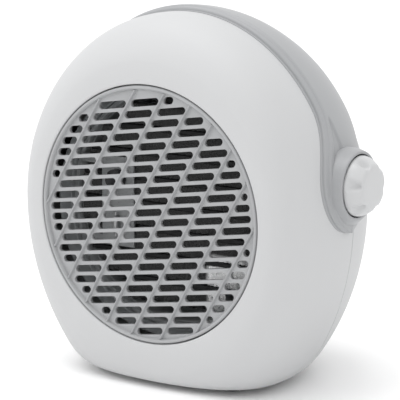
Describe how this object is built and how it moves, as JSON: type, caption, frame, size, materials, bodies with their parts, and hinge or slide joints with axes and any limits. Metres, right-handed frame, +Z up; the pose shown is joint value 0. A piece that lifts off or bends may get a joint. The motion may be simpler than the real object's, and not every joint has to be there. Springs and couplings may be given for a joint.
{
  "type": "ceramic fan heater",
  "caption": "Round free-standing electric fan heater with a ceramic element, a slotted front grille, a band over the top and a control knob on each side.",
  "frame": {"origin": "on the surface it stands on, under the middle of the body's box", "axes": "+Z up, front grille towards -Y, thermostat knob towards +X"},
  "size_m": [0.276, 0.1686, 0.2565],
  "materials": {
    "white_shell": "white moulded plastic, satin gloss",
    "grey_trim": "silver grey moulded plastic, satin",
    "grille_grey": "light grey moulded plastic, satin",
    "dark_plastic": "near-black plastic",
    "duct_grey": "dark grey heat-resistant plastic",
    "frame_grey": "light grey heat-resistant plastic",
    "ceramic": "ceramic heating strip in a thin metal channel",
    "aluminium": "bright folded sheet",
    "steel": "plain steel",
    "brass": "brass",
    "copper": "enamelled copper winding",
    "bronze": "sintered bronze",
    "rubber": "black rubber"
  },
  "bodies": {
    "root": {"front_housing": "white_shell", "rear_housing": "white_shell", "carry_band": "grey_trim", "left_bezel": "grey_trim", "right_bezel": "grey_trim", "front_grille": "grille_grey", "rear_grille": "grille_grey", "thermostat_body": "dark_plastic", "selector_switch_body": "dark_plastic", "tip_switch_body": "dark_plastic", "thermal_cutout": "dark_plastic", "air_duct": "duct_grey", "heater_frame": "frame_grey", "ceramic_strip_1": "ceramic", "ceramic_strip_2": "ceramic", "ceramic_strip_3": "ceramic", "ceramic_strip_4": "ceramic", "ceramic_strip_5": "ceramic", "ceramic_strip_6": "ceramic", "ceramic_strip_7": "ceramic", "terminal_tab_3": "brass", "terminal_tab_4": "brass", "terminal_tab_5": "brass", "thermal_board": "frame_grey", "fin_pack_1": "aluminium", "fin_pack_2": "aluminium", "fin_pack_3": "aluminium", "fin_pack_4": "aluminium", "fin_pack_5": "aluminium", "fin_pack_6": "aluminium", "fin_pack_7": "aluminium", "fin_pack_8": "aluminium", "intake_screw_1": "steel", "intake_screw_2": "steel", "intake_screw_3": "steel", "intake_screw_4": "steel", "motor_stator": "steel", "motor_bracket": "steel", "motor_end_plate": "steel", "thermal_fuse": "steel", "motor_coil": "copper", "front_bearing": "bronze", "rear_bearing": "bronze", "thermostat_nut": "brass", "selector_nut": "brass", "foot_front_left": "rubber", "foot_front_right": "rubber", "foot_rear_left": "rubber", "foot_rear_right": "rubber", "cord_gland": "rubber"},
    "thermostat": {"thermostat_knob": "white_shell", "thermostat_shaft": "steel"},
    "selector": {"selector_knob": "white_shell", "selector_shaft": "steel"},
    "fan": {"fan_impeller": "dark_plastic", "motor_shaft": "steel", "motor_rotor": "aluminium"},
    "tip_plunger": {"tip_switch_plunger": "dark_plastic"}
  },
  "joints": [
    {"name": "thermostat_turn", "type": "hinge", "parent": "root", "child": "thermostat", "pos_m": [0.1256, -0.01885, 0.145], "axis": [1, 0, 0], "range_deg": [0, 270]},
    {"name": "selector_turn", "type": "hinge", "parent": "root", "child": "selector", "pos_m": [-0.1256, -0.01885, 0.145], "axis": [-1, 0, 0], "range_deg": [0, 180]},
    {"name": "fan_spin", "type": "hinge", "parent": "root", "child": "fan", "pos_m": [0, -0.02235, 0.121], "axis": [0, 1, 0], "continuous": true},
    {"name": "plunger_press", "type": "slide", "parent": "root", "child": "tip_plunger", "axis": [0, 0, 1], "range_m": [-0.004, 0], "stiffness_N_per_m": 120, "springref_m": -0.006}
  ]
}
